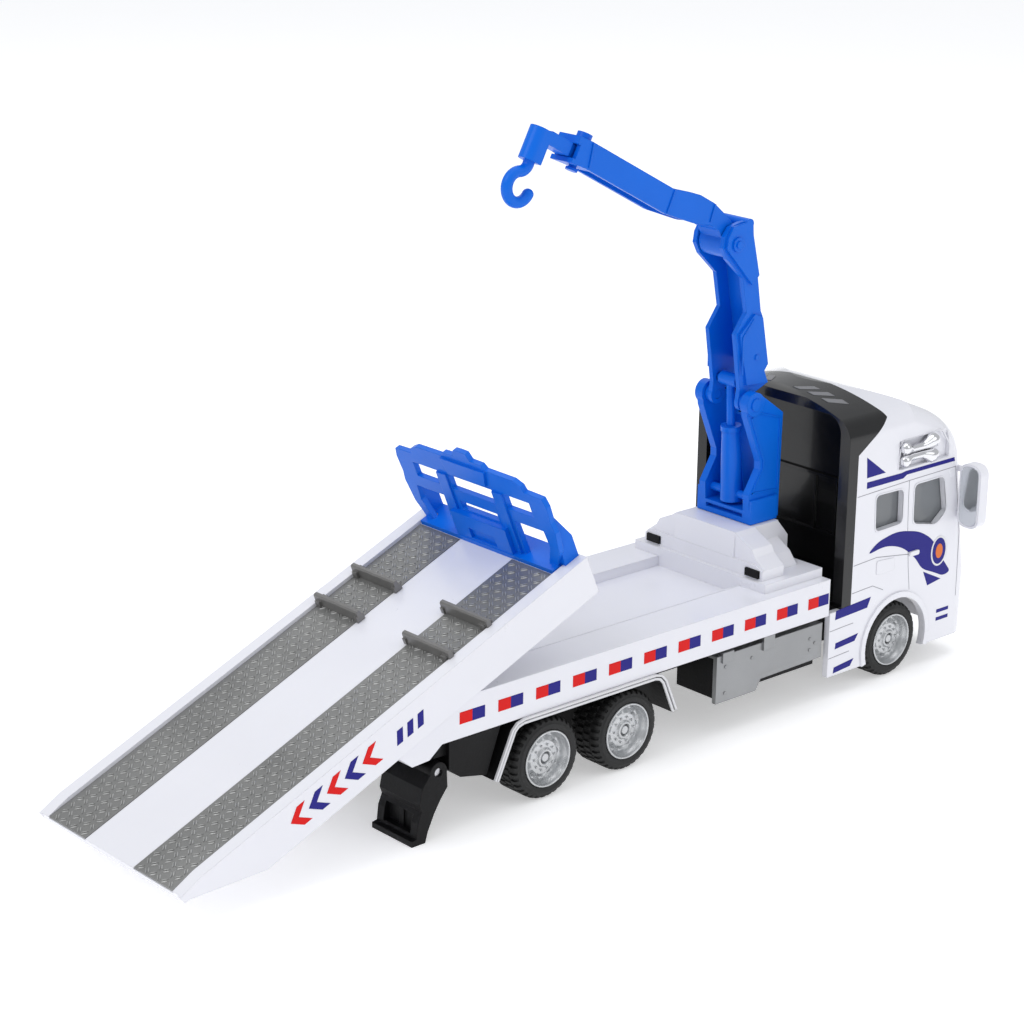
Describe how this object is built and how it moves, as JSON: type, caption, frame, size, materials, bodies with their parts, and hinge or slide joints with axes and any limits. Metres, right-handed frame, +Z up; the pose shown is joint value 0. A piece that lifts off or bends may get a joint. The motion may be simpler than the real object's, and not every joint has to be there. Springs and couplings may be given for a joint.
{
  "type": "toy recovery truck",
  "caption": "Toy recovery lorry whose ramp bed tilts and slides on its tray, with a slewing folding crane, swing-down rear legs and free-rolling wheels.",
  "frame": {"origin": "centre of the footprint, on the ground under the wheels", "axes": "+X towards the cab, +Y to the lorry's left, +Z up"},
  "size_m": [0.2414, 0.0646, 0.1444],
  "materials": {
    "white_body": "glossy white enamel on the die-cast shell",
    "white_plastic": "glossy white moulded plastic",
    "black_plastic": "satin black",
    "black_gloss": "glossy black",
    "blue_plastic": "glossy bright blue",
    "tread_grey": "grey chequer plate",
    "stop_grey": "grey satin",
    "silver_plastic": "silver-sprayed plastic",
    "chrome": "vacuum-plated chrome",
    "tyre": "black, ribbed",
    "steel": "bright steel",
    "window": "smoked clear",
    "lamp": "clear lamp lens"
  },
  "bodies": {
    "truck": {"chassis": "black_plastic", "chassis_screws": "steel", "leg_pins": "steel", "tray": "white_plastic", "fender_left": "black_plastic", "fender_right": "black_plastic", "side_box_left": "black_plastic", "side_box_right": "black_plastic", "side_box_cover_left": "silver_plastic", "side_box_cover_right": "silver_plastic", "headlight_left": "lamp", "headlight_right": "lamp", "horn_left": "chrome", "horn_right": "chrome", "mirror_left": "white_plastic", "mirror_right": "white_plastic", "cab_shell": "white_body", "cab_back": "black_gloss", "cab_glazing": "window", "cab_interior": "black_plastic", "grille": "black_gloss"},
    "carriage": {"carriage": "black_plastic"},
    "bed": {"bed": "white_plastic", "headboard": "blue_plastic", "headboard_pins": "steel", "tread_strip_left": "tread_grey", "tread_strip_right": "tread_grey", "wheel_stop_upper_left": "stop_grey", "wheel_stop_upper_right": "stop_grey", "wheel_stop_lower_left": "stop_grey", "wheel_stop_lower_right": "stop_grey"},
    "leg_left": {"leg_left": "black_plastic"},
    "leg_right": {"leg_right": "black_plastic"},
    "crane": {"crane_column": "blue_plastic", "slew_pin": "steel", "column_studs": "blue_plastic"},
    "ram_barrel": {"cylinder_barrel": "blue_plastic"},
    "ram_rod": {"cylinder_rod": "blue_plastic"},
    "arm": {"crane_arm": "blue_plastic", "elbow_pin": "blue_plastic"},
    "jib": {"jib": "blue_plastic", "hook_pin": "blue_plastic"},
    "hook": {"hook": "blue_plastic"},
    "rear_wheels": {"rear_axle": "steel", "rear_rim_left": "silver_plastic", "rear_rim_right": "silver_plastic", "rear_tyre_left": "tyre", "rear_tyre_right": "tyre"},
    "middle_wheels": {"middle_axle": "steel", "middle_rim_left": "silver_plastic", "middle_rim_right": "silver_plastic", "middle_tyre_left": "tyre", "middle_tyre_right": "tyre"},
    "front_wheels": {"front_axle": "steel", "front_rim_left": "silver_plastic", "front_rim_right": "silver_plastic", "front_tyre_left": "tyre", "front_tyre_right": "tyre"}
  },
  "joints": [
    {"name": "rear_wheel_spin", "type": "hinge", "parent": "truck", "child": "rear_wheels", "pos_m": [-0.02203, 0, 0.0095], "axis": [0, 1, 0], "continuous": true},
    {"name": "middle_wheel_spin", "type": "hinge", "parent": "truck", "child": "middle_wheels", "pos_m": [0.00217, 0, 0.0095], "axis": [0, 1, 0], "continuous": true},
    {"name": "front_wheel_spin", "type": "hinge", "parent": "truck", "child": "front_wheels", "pos_m": [0.09227, 0, 0.0095], "axis": [0, 1, 0], "continuous": true},
    {"name": "bed_tilt", "type": "hinge", "parent": "truck", "child": "carriage", "pos_m": [-0.0614, 0, 0.02627], "axis": [0, 1, 0], "range_deg": [0, 23.17]},
    {"name": "bed_slide", "type": "slide", "parent": "carriage", "child": "bed", "axis": [0.9193, 0, 0.3935], "range_m": [0, 0.05]},
    {"name": "leg_left_fold", "type": "hinge", "parent": "truck", "child": "leg_left", "pos_m": [-0.05353, 0.0174, 0.0152], "axis": [0, 1, 0], "range_deg": [0, 65]},
    {"name": "leg_right_fold", "type": "hinge", "parent": "truck", "child": "leg_right", "pos_m": [-0.05353, -0.0174, 0.0152], "axis": [0, 1, 0], "range_deg": [0, 65]},
    {"name": "crane_slew", "type": "hinge", "parent": "truck", "child": "crane", "pos_m": [0.06057, 0, 0.0428], "axis": [0, 0, 1], "range_deg": [-90, 90]},
    {"name": "arm_pivot", "type": "hinge", "parent": "crane", "child": "arm", "pos_m": [0.05637, 0, 0.0726], "axis": [0, -1, 0], "range_deg": [-8, 35]},
    {"name": "ram_swing", "type": "hinge", "parent": "crane", "child": "ram_barrel", "pos_m": [0.05837, 0, 0.0488], "axis": [0, -1, 0], "range_deg": [-2, 6]},
    {"name": "ram_stroke", "type": "slide", "parent": "ram_barrel", "child": "ram_rod", "axis": [-0.0637, 0, 0.998], "range_m": [-0.0006, 0.0006]},
    {"name": "jib_pivot", "type": "hinge", "parent": "arm", "child": "jib", "pos_m": [0.05127, 0, 0.1111], "axis": [0, -1, 0], "range_deg": [-30, 75]},
    {"name": "hook_swivel", "type": "hinge", "parent": "jib", "child": "hook", "pos_m": [0.00557, 0, 0.1367], "axis": [0.471, 0, 0.8821], "range_deg": [-10, 10]}
  ],
  "couplings": [
    {"joint": "ram_swing", "follows": "arm_pivot", "ratio": 0.15},
    {"joint": "ram_stroke", "follows": "arm_pivot", "m_per_rad": -0.0005}
  ]
}
